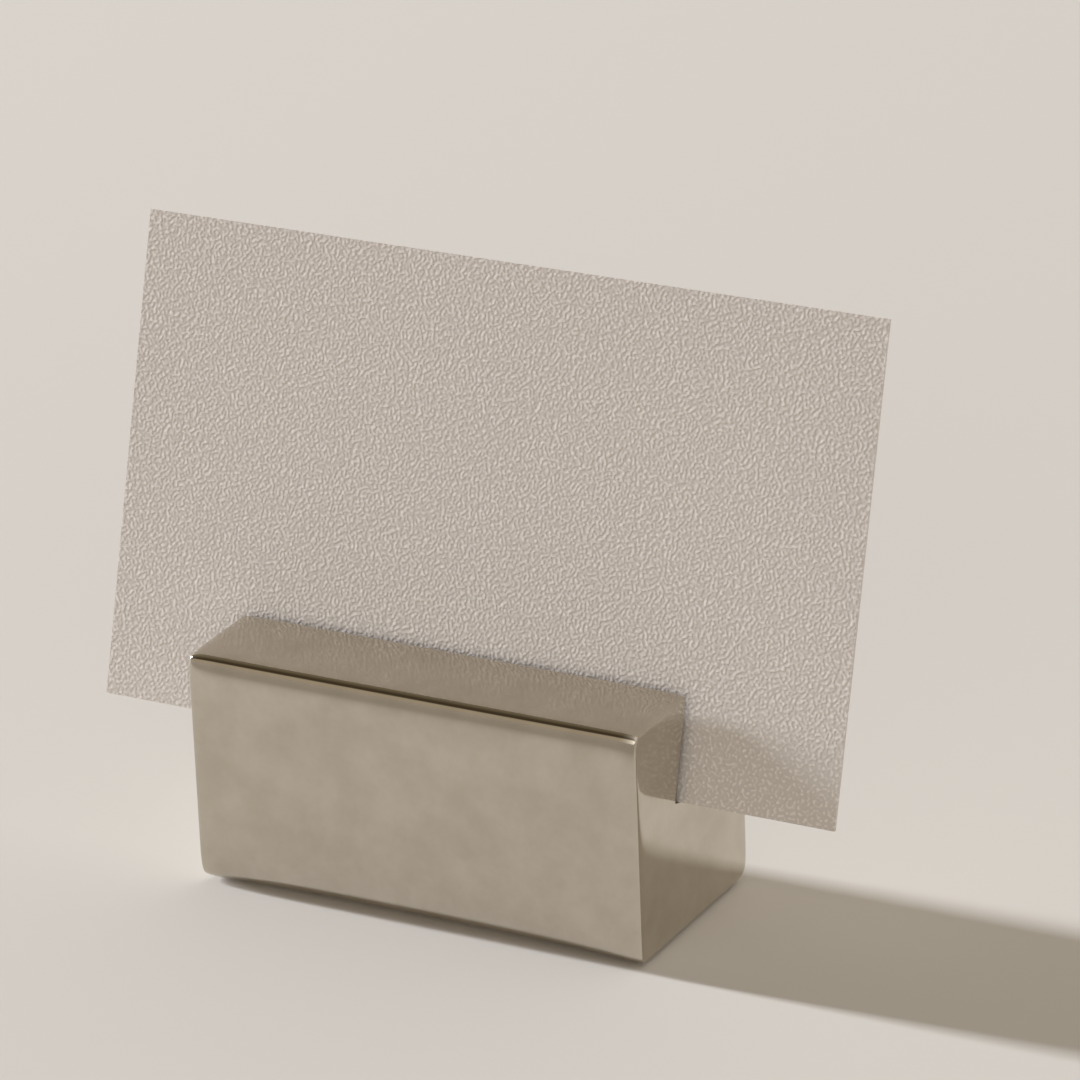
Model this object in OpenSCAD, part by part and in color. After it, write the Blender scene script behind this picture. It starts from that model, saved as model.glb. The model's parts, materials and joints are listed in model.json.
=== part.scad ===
// Place card holder: one solid metal block, buffed round at its edges, with a
// slot sawn across the whole top, and the blank card that leans in the slot.
// Millimetres, +Z up. The origin is the middle of the block's underside. X runs
// along the card, and the card shows its face to -Y.

/* [Block] */
// Length of the block, along the card
block_length = 55.5; // [40:0.5:80]
// Depth of the block, front to back
block_depth = 26; // [18:0.5:40]
// Height of the block
block_height = 28; // [20:0.5:40]

/* [Buffed edges] */
// Radius of the long edges at the front and back of the top face
top_edge_radius = 1.2; // [0.4:0.1:3]
// Radius of the long edges at the front and back of the underside
bottom_edge_radius = 3; // [0.5:0.1:4]
// Radius of the short edges at the ends of the top face
end_top_radius = 0.8; // [0.4:0.1:3]
// Radius of the short edges at the ends of the underside
end_bottom_radius = 1.6; // [0.5:0.1:4]
// Radius of the four upright edges
upright_edge_radius = 0.7; // [0.3:0.1:3]

/* [Slot] */
// Depth of the slot, along its slope from the top face to its floor
slot_depth = 12.2; // [6:0.1:18]
// Lean of the slot and of the card, in degrees back from upright
slot_lean = 16.5; // [0:0.5:25]
// Play that the card has between the two walls of the slot
slot_play = 1; // [0.3:0.1:2]
// Radius of the buffed lips where the slot opens into the top face
slot_lip_radius = 1; // [0.3:0.1:2]

/* [Card] */
// Width of the card
card_width = 91; // [60:1:120]
// Height of the card
card_height = 55; // [35:1:80]
// Thickness of the card
card_thickness = 0.4; // [0.2:0.05:1]
// Distance that the card stands to the right of the block's middle
card_shift = 0.7; // [-10:0.1:10]

/* [Hidden] */

// Number of sides that draws a full circle
$fn = 96;
// Overrun of a cut past the surface that it opens
cut_over = 1;

slot_width = card_thickness + slot_play;

// Directions in the side view, as [Y, Z]: up the slot, and from its front wall to its back wall
up_slot = [sin(slot_lean), cos(slot_lean)];
across_slot = [cos(slot_lean), -sin(slot_lean)];

// The slot in the side view, as [Y, Z]: its mouth is in the middle of the top face
slot_mouth = [0, block_height];
front_lip = slot_mouth - [slot_width / 2 / cos(slot_lean), 0];
back_lip = slot_mouth + [slot_width / 2 / cos(slot_lean), 0];
slot_floor = slot_mouth - up_slot * slot_depth;
floor_front = slot_floor - across_slot * slot_width / 2;
floor_back = slot_floor + across_slot * slot_width / 2;

function unit(v) = v / norm(v);

// What rounding the corner at tip takes off, between the sides to before and after
module corner_waste(before, tip, after, radius) {
    side_a = unit(before - tip);
    side_b = unit(after - tip);
    inward = unit(side_a + side_b);
    half_angle = acos(side_a * side_b) / 2;
    reach = radius / tan(half_angle);
    centre = tip + inward * radius / sin(half_angle);
    difference() {
        polygon([tip - inward * cut_over, tip + side_a * reach, centre, tip + side_b * reach]);
        translate(centre) circle(radius);
    }
}

// An outline with an arc of its own radius at each corner, or a sharp corner where that is 0
module rounded_outline(corners, radii) {
    last = len(corners) - 1;
    difference() {
        polygon(corners);
        for (i = [0:last]) {
            if (radii[i] > 0) {
                before = corners[i == 0 ? last : i - 1];
                after = corners[i == last ? 0 : i + 1];
                corner_waste(before, corners[i], after, radii[i]);
            }
        }
    }
}

// The block from its right end, as [Y, Z], with the slot cut down from the top
module side_profile() {
    front = -block_depth / 2;
    back = block_depth / 2;
    rounded_outline(
        [[front, 0], [back, 0], [back, block_height], back_lip,
         floor_back, floor_front, front_lip, [front, block_height]],
        [bottom_edge_radius, bottom_edge_radius, top_edge_radius, slot_lip_radius,
         0, 0, slot_lip_radius, top_edge_radius]);
}

// The block from the front, as [X, Z]
module front_profile() {
    end = block_length / 2;
    rounded_outline(
        [[-end, 0], [end, 0], [end, block_height], [-end, block_height]],
        [end_bottom_radius, end_bottom_radius, end_top_radius, end_top_radius]);
}

// The block from above, as [X, Y]
module plan_profile() {
    end = block_length / 2;
    side = block_depth / 2;
    rounded_outline(
        [[-end, -side], [end, -side], [end, side], [-end, side]],
        [for (corner = [1:4]) upright_edge_radius]);
}

// The solid block, where the three views meet
module holder_block() {
    color("#cbc2b1")
    intersection() {
        rotate([90, 0, 90])
            linear_extrude(block_length + 2 * cut_over, center = true) side_profile();
        rotate([90, 0, 0])
            linear_extrude(block_depth + 2 * cut_over, center = true) front_profile();
        translate([0, 0, -cut_over])
            linear_extrude(block_height + 2 * cut_over) plan_profile();
    }
}

// The card, with its foot on the slot's floor and its back against the back wall
module place_card() {
    color("#bbb1a4")
    translate([card_shift, floor_back[0], floor_back[1]])
        rotate([-slot_lean, 0, 0])
            translate([-card_width / 2, -card_thickness, 0])
                cube([card_width, card_thickness, card_height]);
}

holder_block();
place_card();
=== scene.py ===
# Place card holder: a mirror polished metal block with a leaning slot, and the
# blank leather-grained card that stands in the slot. Metres, +Z up, in the CAD's frame.
import json
import math

import bpy
from mathutils import Matrix, Vector


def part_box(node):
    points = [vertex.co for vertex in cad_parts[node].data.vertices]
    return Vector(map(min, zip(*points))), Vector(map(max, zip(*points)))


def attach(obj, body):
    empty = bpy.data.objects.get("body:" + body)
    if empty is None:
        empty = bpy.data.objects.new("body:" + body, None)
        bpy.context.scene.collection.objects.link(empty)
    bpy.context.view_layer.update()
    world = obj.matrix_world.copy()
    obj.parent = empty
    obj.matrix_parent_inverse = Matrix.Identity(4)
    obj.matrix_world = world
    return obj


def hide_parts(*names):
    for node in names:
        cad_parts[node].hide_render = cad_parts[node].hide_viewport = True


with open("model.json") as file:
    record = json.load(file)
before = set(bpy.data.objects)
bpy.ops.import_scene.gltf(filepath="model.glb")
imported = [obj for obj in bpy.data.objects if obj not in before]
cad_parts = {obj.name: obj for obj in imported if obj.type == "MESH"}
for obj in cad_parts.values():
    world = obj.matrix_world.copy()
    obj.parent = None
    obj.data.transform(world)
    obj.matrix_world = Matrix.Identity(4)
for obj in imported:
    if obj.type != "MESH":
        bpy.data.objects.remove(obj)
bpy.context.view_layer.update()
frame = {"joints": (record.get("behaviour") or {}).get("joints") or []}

MM = 0.001
tolerance = 0.01 * MM


# Helpers that the block and the card share: picking out parts of a mesh, adding a modifier, and
# building a material from nodes

def near(a, b):
    """Whether two lengths are the same, to a hundredth of a millimetre"""
    return abs(a - b) < tolerance


def start_editing(piece):
    """Opens one piece in edit mode, with all of it selected"""
    bpy.ops.object.select_all(action="DESELECT")
    piece.select_set(True)
    bpy.context.view_layer.objects.active = piece
    bpy.ops.object.mode_set(mode="EDIT")
    bpy.ops.mesh.select_all(action="SELECT")


def select(piece, kind, test):
    """Selects just the faces whose middle passes the test, or the edges whose ends and middle do"""
    bpy.ops.object.mode_set(mode="EDIT")
    bpy.ops.mesh.select_mode(type={"faces": "FACE", "edges": "EDGE"}[kind])
    bpy.ops.mesh.select_all(action="DESELECT")
    bpy.ops.object.mode_set(mode="OBJECT")
    if kind == "faces":
        for face in piece.data.polygons:
            face.select = test(face.center)
    else:
        for edge in piece.data.edges:
            start, end = [piece.data.vertices[index].co for index in edge.vertices]
            edge.select = all(test(point) for point in (start, end, (start + end) / 2))
    bpy.ops.object.mode_set(mode="EDIT")


def apply_modifier(piece, kind, **settings):
    """Adds a modifier with its settings, and applies it"""
    modifier = piece.modifiers.new(kind.title(), kind)
    for name, value in settings.items():
        setattr(modifier, name, value)
    bpy.context.view_layer.objects.active = piece
    bpy.ops.object.modifier_apply(modifier=modifier.name)


def linear(code):
    """An sRGB hex colour as linear red, green, blue and alpha"""
    shares = [int(code[i:i + 2], 16) / 255 for i in (0, 2, 4)]
    return [s / 12.92 if s <= 0.04045 else ((s + 0.055) / 1.055) ** 2.4 for s in shares] + [1]


def add_node(tree, kind, inputs=None, **settings):
    """Adds a node with its settings; an input is a plain value, or the output that feeds it"""
    node = tree.nodes.new(kind)
    for name, value in settings.items():
        setattr(node, name, value)
    for name, value in (inputs or {}).items():
        if isinstance(value, bpy.types.NodeSocket):
            tree.links.new(value, node.inputs[name])
        else:
            node.inputs[name].default_value = value
    return node


def new_material(name):
    """An empty material, with the shader that its nodes end in"""
    material = bpy.data.materials.new(name)
    material.use_nodes = True
    material.node_tree.nodes.clear()
    shader = add_node(material.node_tree, "ShaderNodeBsdfPrincipled")
    add_node(material.node_tree, "ShaderNodeOutputMaterial", {"Surface": shader.outputs["BSDF"]})
    return material, material.node_tree, shader


# The holder block: one solid block of brass, sawn, buffed round at every edge and plated with
# nickel. A leaning slot is sawn across its whole top. It stands free on its underside.

block_low, block_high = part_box("holder_block")
block_size = block_high - block_low
block_middle = (block_low + block_high) / 2

# How far the rounding of each kind of edge reaches into the faces beside it
long_top_reach = 1.5 * MM
end_top_reach = 0.9 * MM
upright_reach = 0.8 * MM
long_bottom_reach = 7 * MM
end_bottom_reach = 2.3 * MM
lip_reach = 0.8 * MM
slot_end_reach = 0.4 * MM
slot_floor_reach = 0.15 * MM
widest_reach = long_bottom_reach
smoothing_levels = 4

# The faces stay flat only in their middle: the soft wheel wears them down towards each edge, by
# this depth at the edge itself, and by about a third as much with each such distance into the face
wear_depth = 0.28 * MM
wear_distance = 1.1 * MM
# The small end faces are held flatter on the wheel, and are worn by only this share
end_wear_share = 0.3

# The slot leans back the way the card lifts out of it
card_lift = next(joint for joint in frame["joints"] if joint["name"] == "card_lift")
up_slot = Vector(card_lift["axis"])
across_slot = Vector((0, up_slot.z, -up_slot.y))
slot_lean = math.atan2(up_slot.y, up_slot.z)
slot_width = 1.4 * MM
slot_depth = 12.2 * MM
slot_mouth = Vector((0, 0, block_high.z))
slot_floor = slot_mouth - up_slot * slot_depth
floor_corners = [slot_floor + across_slot * slot_width * side / 2 for side in (-1, 1)]


def height_in_slot(point):
    """How far a point lies above the slot's floor, along the slot's slope"""
    return (point - slot_floor).dot(up_slot)


def across_from_slot(point):
    """How far a point lies behind the slot's middle, square to its walls"""
    return (point - slot_floor).dot(across_slot)


bpy.ops.object.select_all(action="DESELECT")
bpy.ops.mesh.primitive_cube_add(size=1, location=block_middle, scale=block_size)
block = bpy.context.object
block.name = "nickel_block"
bpy.ops.object.transform_apply(location=True, rotation=False, scale=True)

# The slot is marked out by its floor, then its two walls above it, and plumb lines below it
start_editing(block)
bpy.ops.mesh.bisect(plane_co=slot_floor, plane_no=up_slot)
for corner in floor_corners:
    select(block, "faces", lambda centre: height_in_slot(centre) > 0)
    bpy.ops.mesh.bisect(plane_co=corner, plane_no=across_slot)
    select(block, "faces", lambda centre: height_in_slot(centre) < 0)
    bpy.ops.mesh.bisect(plane_co=corner, plane_no=(0, 1, 0))

# The metal between the walls is taken out, and the open ends are joined by the walls and the floor
select(block, "faces", lambda centre: abs(across_from_slot(centre)) < slot_width / 2
       and height_in_slot(centre) > tolerance)
bpy.ops.mesh.delete(type="FACE")


def on_slot(point):
    """Whether a point lies on the walls or the floor of the slot"""
    height = height_in_slot(point)
    across = abs(across_from_slot(point))
    on_floor = near(height, 0) and across < slot_width / 2
    on_wall = near(across, slot_width / 2) and height > -tolerance
    return on_floor or on_wall


def at_ends(point):
    """Whether a point lies on one of the block's two end faces"""
    return near(abs(point.x), block_high.x)


select(block, "edges", lambda point: on_slot(point) and at_ends(point))
bpy.ops.mesh.bridge_edge_loops()
bpy.ops.mesh.select_all(action="SELECT")
bpy.ops.mesh.normals_make_consistent(inside=False)
bpy.ops.object.mode_set(mode="OBJECT")

# Each kind of edge gets a bevel weight, which is its share of the widest reach
weights = block.data.attributes.new("bevel_weight_edge", "FLOAT", "EDGE")


def reach_of(a, b):
    """How far the buffing of the edge between two points reaches, or 0 inside a flat face"""
    along_x = not near(a.x, b.x)
    level = near(a.z, b.z)
    top = near(a.z, block_high.z) and near(b.z, block_high.z)
    bottom = near(a.z, block_low.z) and near(b.z, block_low.z)
    front_or_back = near(abs(a.y), block_high.y) and near(abs(b.y), block_high.y)
    if on_slot(a) and on_slot(b):
        if not along_x:
            return slot_end_reach
        return lip_reach if top else slot_floor_reach
    if along_x:
        if front_or_back and top:
            return long_top_reach
        if front_or_back and bottom:
            return long_bottom_reach
        return 0
    if at_ends(a) and at_ends(b):
        if level and top:
            return end_top_reach
        if level and bottom:
            return end_bottom_reach
        if front_or_back and not level:
            return upright_reach
    return 0


for edge, weight in zip(block.data.edges, weights.data):
    ends = [block.data.vertices[end].co for end in edge.vertices]
    weight.value = reach_of(*ends) / widest_reach

apply_modifier(block, "BEVEL", width=widest_reach, segments=2, profile=1,
               limit_method="WEIGHT", use_clamp_overlap=False)
apply_modifier(block, "SUBSURF", levels=smoothing_levels, render_levels=smoothing_levels)


def wear(distance):
    """How deep the faces are worn at this distance from an edge"""
    return wear_depth * math.exp(-distance / wear_distance)


half_size = block_size / 2
for point in block.data.vertices:
    place = point.co - block_middle
    worn = [wear(half_size[axis] - abs(place[axis])) for axis in range(3)]
    for axis in range(3):
        pull = (sum(worn) - worn[axis]) * (end_wear_share if axis == 0 else 1)
        place[axis] *= 1 - pull / half_size[axis]
    point.co = place + block_middle

bpy.ops.object.shade_smooth()


# Nickel plate, buffed on a soft wheel: a warm mirror with faint haze and hairline wheel marks
nickel_colour = "cec6b9"
hazy_nickel_colour = "c4bcae"
haze_size = 6 * MM
haze_detail = 4
haze_fineness = 0.65
haze_starts_at = 0.35
haze_is_full_at = 0.65
clear_roughness = 0.08
hazy_roughness = 0.15
roughness_starts_at = 0.3
roughness_is_full_at = 0.7
wheel_mark_spacing = 0.35 * MM
wheel_mark_length = 14 * MM
wheel_mark_depth = 0.00012 * MM

polished_nickel, tree, shader = new_material("buffed_nickel_plate")
place = add_node(tree, "ShaderNodeTexCoord").outputs["Object"]
haze = add_node(tree, "ShaderNodeTexNoise",
                {"Vector": place, "Scale": 1 / haze_size, "Detail": haze_detail,
                 "Roughness": haze_fineness})
haze_share = add_node(tree, "ShaderNodeMapRange",
                      {"Value": haze.outputs["Fac"], "From Min": haze_starts_at,
                       "From Max": haze_is_full_at})
stretch = add_node(tree, "ShaderNodeMapping",
                   {"Vector": place,
                    "Scale": (1 / wheel_mark_length, 1 / wheel_mark_spacing, 1 / wheel_mark_spacing)})
marks = add_node(tree, "ShaderNodeTexNoise",
                 {"Vector": stretch.outputs["Vector"], "Scale": 1, "Detail": 2})
buffed_colour = add_node(tree, "ShaderNodeMixRGB",
                         {"Fac": haze_share.outputs["Result"],
                          "Color1": linear(nickel_colour), "Color2": linear(hazy_nickel_colour)})
buffed_roughness = add_node(tree, "ShaderNodeMapRange",
                            {"Value": haze.outputs["Fac"], "From Min": roughness_starts_at,
                             "From Max": roughness_is_full_at, "To Min": clear_roughness,
                             "To Max": hazy_roughness})

# The buffing wheel can't get into the slot, so its walls and floor keep a dull sawn finish, and
# their colour is painted darker as painted shade inside the slot
slot_painted_shade_colour = "7d7365"
sawn_roughness = 0.38
sawn_margin = 0.04 * MM
in_slot = add_node(tree, "ShaderNodeMapping",
                   {"Vector": place, "Location": slot_floor, "Rotation": (-slot_lean, 0, 0)},
                   vector_type="TEXTURE")
slot_parts = add_node(tree, "ShaderNodeSeparateXYZ", {"Vector": in_slot.outputs["Vector"]}).outputs
across = add_node(tree, "ShaderNodeMath", {0: slot_parts["Y"]}, operation="ABSOLUTE").outputs["Value"]
between_walls = add_node(tree, "ShaderNodeMapRange",
                         {"Value": across, "From Min": slot_width / 2 + 2 * sawn_margin,
                          "From Max": slot_width / 2 + sawn_margin})
above_floor = add_node(tree, "ShaderNodeMapRange",
                       {"Value": slot_parts["Z"], "From Min": -2 * sawn_margin,
                        "From Max": -sawn_margin})
sawn_and_painted_shade = add_node(tree, "ShaderNodeMath",
                {0: between_walls.outputs["Result"], 1: above_floor.outputs["Result"]},
                operation="MULTIPLY").outputs["Value"]
# Inside the slot the colour is painted shade, darker than the nickel; the sawn roughness is real
colour = add_node(tree, "ShaderNodeMixRGB",
                  {"Fac": sawn_and_painted_shade, "Color1": buffed_colour.outputs["Color"],
                   "Color2": linear(slot_painted_shade_colour)})
roughness = add_node(tree, "ShaderNodeMapRange",
                     {"Value": sawn_and_painted_shade, "To Min": buffed_roughness.outputs["Result"],
                      "To Max": sawn_roughness})
bump = add_node(tree, "ShaderNodeBump",
                {"Height": marks.outputs["Fac"], "Distance": wheel_mark_depth, "Strength": 1})
shader.inputs["Metallic"].default_value = 1
tree.links.new(colour.outputs["Color"], shader.inputs["Base Color"])
tree.links.new(roughness.outputs["Result"], shader.inputs["Roughness"])
tree.links.new(bump.outputs["Normal"], shader.inputs["Normal"])

block.data.materials.append(polished_nickel)
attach(block, "holder")
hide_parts("holder_block")


# The place card: thick card stock with a pressed leather grain, guillotined square and left blank.
# It is loose: its foot stands on the slot's floor, and its back leans on the slot's back wall.

card_low, card_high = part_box("place_card")
card_thickness = 0.4 * MM
card_width = card_high.x - card_low.x
card_height = (card_high.z - card_low.z - card_thickness * up_slot.y) / up_slot.z
# The middle of the card's foot, on its face, where the flat card's own origin comes to lie
card_foot = Vector(((card_low.x + card_high.x) / 2, card_low.y, card_low.z + card_thickness * up_slot.y))
card_tilt = math.pi / 2 - slot_lean

# The grain is a relief of short winding ridges, pressed into the face and faint on the back.
# The mesh holds a part of its height, and the shader the rest, which is too fine for the mesh.
ridge_spacing = 0.61 * MM
ridge_steepness = 5
# The ridges lie in patches that each run their own way, as many ridges wide as this
ridges_per_patch = 1.1
pressed_height = 0.008 * MM
fine_height = 0.0195 * MM
back_grain_share = 0.35
face_cell = 0.25 * MM
back_cell = 1 * MM
# A fold sharper than this is a cut edge of the card, and is shaded as one
sharpest_fold = math.radians(50)


def add_grain(tree, flat_place):
    """The winding ridges of the grain as a height from -1 to 1, on the flat card"""
    waves = add_node(tree, "ShaderNodeTexGabor",
                     {"Vector": flat_place, "Scale": 1 / (ridges_per_patch * ridge_spacing),
                      "Frequency": ridges_per_patch, "Anisotropy": 0}, gabor_type="2D")
    steep = add_node(tree, "ShaderNodeMapRange",
                     {"Value": waves.outputs["Value"], "From Min": 0, "From Max": 1,
                      "To Min": -ridge_steepness / 2, "To Max": ridge_steepness / 2})
    return add_node(tree, "ShaderNodeMath",
                    {0: steep.outputs["Result"]}, operation="TANH").outputs["Value"]


bpy.ops.object.select_all(action="DESELECT")
bpy.ops.mesh.primitive_grid_add(
    x_subdivisions=round(card_width / face_cell), y_subdivisions=round(card_height / face_cell),
    size=1, location=(0, card_height / 2, 0))
card = bpy.context.object
card.name = "grained_card"
card.scale = (card_width, card_height, 1)
bpy.ops.object.transform_apply(location=True, rotation=False, scale=True)

# The back is a coarser sheet, turned to face backwards, and the cut edges join the two
bpy.ops.object.mode_set(mode="EDIT")
bpy.ops.mesh.select_all(action="DESELECT")
bpy.ops.mesh.primitive_grid_add(
    x_subdivisions=round(card_width / back_cell), y_subdivisions=round(card_height / back_cell),
    size=1, location=(0, 0, 0))
bpy.ops.transform.resize(value=(card_width, card_height, 1))
bpy.ops.transform.translate(value=(0, card_height / 2, -card_thickness))
bpy.ops.mesh.flip_normals()


def on_outline(point):
    """Whether a point of the flat card lies on its outline"""
    return near(abs(point.x), card_width / 2) or near(point.y, 0) or near(point.y, card_height)


select(card, "edges", on_outline)
bpy.ops.mesh.bridge_edge_loops()
bpy.ops.mesh.select_all(action="SELECT")
bpy.ops.mesh.normals_make_consistent(inside=False)
bpy.ops.object.mode_set(mode="OBJECT")

press = bpy.data.node_groups.new("press_grain", "GeometryNodeTree")
press.interface.new_socket("Geometry", in_out="INPUT", socket_type="NodeSocketGeometry")
press.interface.new_socket("Geometry", in_out="OUTPUT", socket_type="NodeSocketGeometry")
sheet = add_node(press, "NodeGroupInput")
place = add_node(press, "GeometryNodeInputPosition").outputs["Position"]
depth = add_node(press, "ShaderNodeSeparateXYZ", {"Vector": place}).outputs["Z"]
height = add_node(press, "ShaderNodeMapRange",
                  {"Value": depth, "From Min": -card_thickness, "From Max": 0,
                   "To Min": pressed_height * back_grain_share, "To Max": pressed_height})
lift = add_node(press, "ShaderNodeMath",
                {0: add_grain(press, place), 1: height.outputs["Result"]}, operation="MULTIPLY")
offset = add_node(press, "ShaderNodeCombineXYZ", {"Z": lift.outputs["Value"]})
pressed = add_node(press, "GeometryNodeSetPosition",
                   {"Geometry": sheet.outputs["Geometry"], "Offset": offset.outputs["Vector"]})
add_node(press, "NodeGroupOutput", {"Geometry": pressed.outputs["Geometry"]})
apply_modifier(card, "NODES", node_group=press)

start_editing(card)
bpy.ops.transform.rotate(value=-card_tilt, orient_axis="X", center_override=(0, 0, 0))
bpy.ops.transform.translate(value=card_foot)
bpy.ops.object.mode_set(mode="OBJECT")
bpy.ops.object.shade_smooth_by_angle(angle=sharpest_fold)

# Coated card stock: a light warm grey with the soft sheen of its pressed coating
card_colour = "cec5bd"
card_tint_colour = "cac2bb"
tint_size = 25 * MM
# The press polishes the tops of the grain, which are painted paler than its valleys: partly their
# own polish, partly a painted highlight for the light that the tops catch
polished_and_highlit_top_colour = "eae1d9"
polished_and_highlit_from_height = 0.1
card_roughness = 0.38

embossed_card, tree, shader = new_material("leather_grained_card")
place = add_node(tree, "ShaderNodeTexCoord").outputs["Object"]
flat = add_node(tree, "ShaderNodeMapping",
                {"Vector": place, "Location": card_foot, "Rotation": (card_tilt, 0, 0)},
                vector_type="TEXTURE").outputs["Vector"]
tint = add_node(tree, "ShaderNodeTexNoise", {"Vector": flat, "Scale": 1 / tint_size, "Detail": 1})
colour = add_node(tree, "ShaderNodeMixRGB",
                  {"Fac": tint.outputs["Fac"],
                   "Color1": linear(card_colour), "Color2": linear(card_tint_colour)})
grain = add_grain(tree, flat)
flat_depth = add_node(tree, "ShaderNodeSeparateXYZ", {"Vector": flat}).outputs["Z"]
pressure = add_node(tree, "ShaderNodeMapRange",
                    {"Value": flat_depth, "From Min": -card_thickness, "From Max": 0,
                     "To Min": back_grain_share}).outputs["Result"]
bump = add_node(tree, "ShaderNodeBump",
                {"Height": grain, "Distance": fine_height, "Strength": pressure})
# Paler grain tops: partly polish, partly painted highlight; fainter on the back
top_polish_and_highlight_share = add_node(tree, "ShaderNodeMapRange",
                     {"Value": grain, "From Min": polished_and_highlit_from_height, "From Max": 1,
                      "To Max": pressure})
colour = add_node(tree, "ShaderNodeMixRGB",
                  {"Fac": top_polish_and_highlight_share.outputs["Result"], "Color1": colour.outputs["Color"],
                   "Color2": linear(polished_and_highlit_top_colour)})
shader.inputs["Roughness"].default_value = card_roughness
tree.links.new(colour.outputs["Color"], shader.inputs["Base Color"])
tree.links.new(bump.outputs["Normal"], shader.inputs["Normal"])

card.data.materials.append(embossed_card)
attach(card, "card")
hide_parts("place_card")


# The floor: a plain pale table top, which the block stands on. Its colour is painted darker towards
# its near side, well in front of the block: painted shade, where a table leaves the light.

floor_width = 6
floor_colour = "d2cbc2"
painted_shade_floor_colour = "a69d91"
painted_shade_start = -64 * MM
painted_shade_end = -95 * MM
floor_roughness = 0.9
floor_sheen = 0.2

bpy.ops.object.select_all(action="DESELECT")
bpy.ops.mesh.primitive_plane_add(size=floor_width, location=(0, 0, block_low.z))
floor = bpy.context.object
floor.name = "table_top"
bpy.ops.object.transform_apply(location=True, rotation=False, scale=False)
table_top, tree, shader = new_material("plain_table_top")
place = add_node(tree, "ShaderNodeTexCoord").outputs["Object"]
depth = add_node(tree, "ShaderNodeSeparateXYZ", {"Vector": place}).outputs["Y"]
# Painted shade: the colour darkens towards the table's near side
painted_shade_blend = add_node(tree, "ShaderNodeMapRange",
                     {"Value": depth, "From Min": painted_shade_start, "From Max": painted_shade_end},
                     interpolation_type="SMOOTHSTEP")
colour = add_node(tree, "ShaderNodeMixRGB",
                  {"Fac": painted_shade_blend.outputs["Result"], "Color1": linear(floor_colour),
                   "Color2": linear(painted_shade_floor_colour)})
tree.links.new(colour.outputs["Color"], shader.inputs["Base Color"])
shader.inputs["Roughness"].default_value = floor_roughness
shader.inputs["Specular IOR Level"].default_value = floor_sheen
floor.data.materials.append(table_top)


# The light: a tall narrow strip low on the left, in a room whose light and dark bands run along
# the block, and which is brighter and cooler on the right than on the left

# The middle of the photograph, which the light and the camera both point at
target = Vector((10.1, 0, 42.66)) * MM
key_direction = Vector((-0.957, -0.032, 0.288)).normalized()
key_distance = 8
key_width = 0.48
key_height = 3.2
key_power = 1376
key_colour = "ecf3ff"

key_light = bpy.data.lights.new("key_strip", "AREA")
key_light.shape = "RECTANGLE"
key_light.size = key_width
key_light.size_y = key_height
key_light.energy = key_power
key_light.color = linear(key_colour)[:3]
key_strip = bpy.data.objects.new("key_strip", key_light)
bpy.context.scene.collection.objects.link(key_strip)
key_strip.location = target + key_direction * key_distance
key_strip.rotation_euler = key_direction.to_track_quat("Z", "Y").to_euler()

# Each band's colour at its angle in degrees, from the front horizon over the top to the back one;
# what lies below the horizon is the same again, and is hidden by the floor
left_strength = 1
left_bands = [(0, "b3aa9c"), (12, "b9ad9a"), (28, "b9ad9a"), (40, "4a3f2e"), (66, "4a3f2e"),
              (105, "776d58"), (130, "8c8373"), (148, "e1ddce"), (180, "e1ddce")]
right_strength = 1.8
right_bands = [(0, "f0ece5"), (28, "f0ece5"), (40, "827e78"), (66, "827e78"),
               (95, "b5b1ab"), (180, "b5b1ab")]
# The two sides blend softly, over this share of the way to either side
side_blend_share = 0.3

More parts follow.
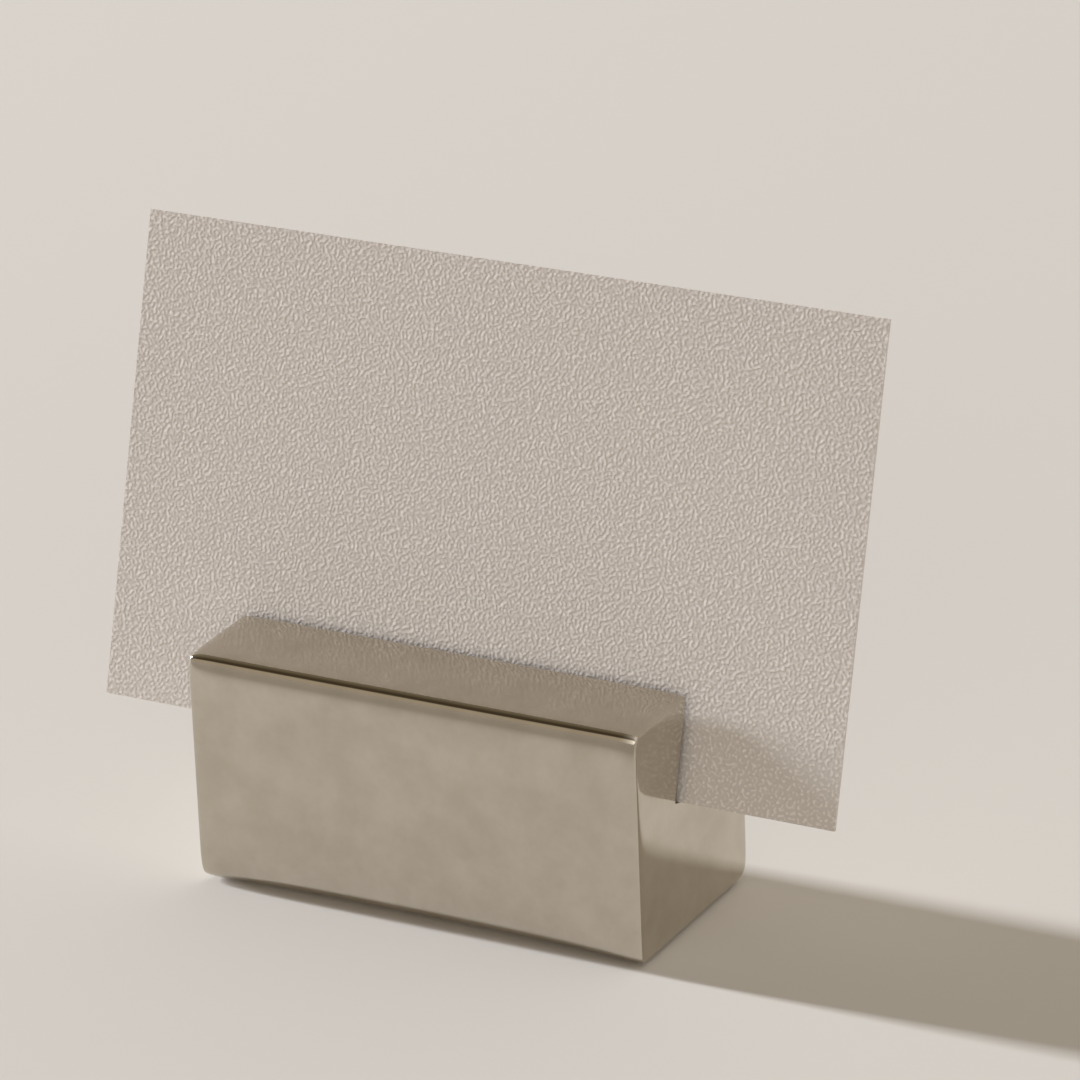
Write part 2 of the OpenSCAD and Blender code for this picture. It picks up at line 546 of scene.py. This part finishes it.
world = bpy.data.worlds.new("room")
bpy.context.scene.world = world
world.use_nodes = True
tree = world.node_tree
tree.nodes.clear()
direction = add_node(tree, "ShaderNodeTexCoord").outputs["Generated"]
parts = add_node(tree, "ShaderNodeSeparateXYZ", {"Vector": direction}).outputs
to_front = add_node(tree, "ShaderNodeMath",
                    {0: parts["Y"], 1: -1}, operation="MULTIPLY").outputs["Value"]
rise = add_node(tree, "ShaderNodeMath", {0: parts["Z"]}, operation="ABSOLUTE").outputs["Value"]
angle = add_node(tree, "ShaderNodeMath", {0: rise, 1: to_front}, operation="ARCTAN2").outputs["Value"]
half_turn = add_node(tree, "ShaderNodeMath", {0: angle, 1: math.pi}, operation="DIVIDE").outputs["Value"]


def add_room_side(bands, strength):
    """One side of the room: its bands from the front horizon over the top to the back one"""
    ramp = add_node(tree, "ShaderNodeValToRGB", {"Fac": half_turn})
    stops = ramp.color_ramp.elements
    while len(stops) < len(bands):
        stops.new(1)
    for stop, (degrees, code) in zip(stops, bands):
        stop.position = degrees / 180
        stop.color = linear(code)
    side = add_node(tree, "ShaderNodeBackground", {"Color": ramp.outputs["Color"], "Strength": strength})
    return side.outputs["Background"]


right_share = add_node(tree, "ShaderNodeMapRange",
                       {"Value": parts["X"], "From Min": -side_blend_share,
                        "From Max": side_blend_share})
room = add_node(tree, "ShaderNodeMixShader",
                {"Fac": right_share.outputs["Result"],
                 1: add_room_side(left_bands, left_strength),
                 2: add_room_side(right_bands, right_strength)})
add_node(tree, "ShaderNodeOutputWorld", {"Surface": room.outputs["Shader"]})


# The camera: a long lens that stands at the photograph's angle, to the right of the block's front
# and above it, and is rolled a little

camera_azimuth = math.radians(29.0)
camera_height_angle = math.radians(22.52)
camera_roll = math.radians(2.23)
camera_distance = 665.9 * MM
lens_mm = 206.14
sensor_mm = 36

camera_data = bpy.data.cameras.new("camera")
camera_data.lens = lens_mm
camera_data.sensor_width = sensor_mm
camera = bpy.data.objects.new("camera", camera_data)
bpy.context.scene.collection.objects.link(camera)
back = Vector((math.sin(camera_azimuth) * math.cos(camera_height_angle),
               -math.cos(camera_azimuth) * math.cos(camera_height_angle),
               math.sin(camera_height_angle)))
camera.matrix_world = (Matrix.Translation(target + back * camera_distance)
                       @ Matrix.Rotation(camera_azimuth, 4, "Z")
                       @ Matrix.Rotation(math.pi / 2 - camera_height_angle, 4, "X")
                       @ Matrix.Rotation(-camera_roll, 4, "Z"))
bpy.context.scene.camera = camera
bpy.context.scene.view_settings.view_transform = "Standard"
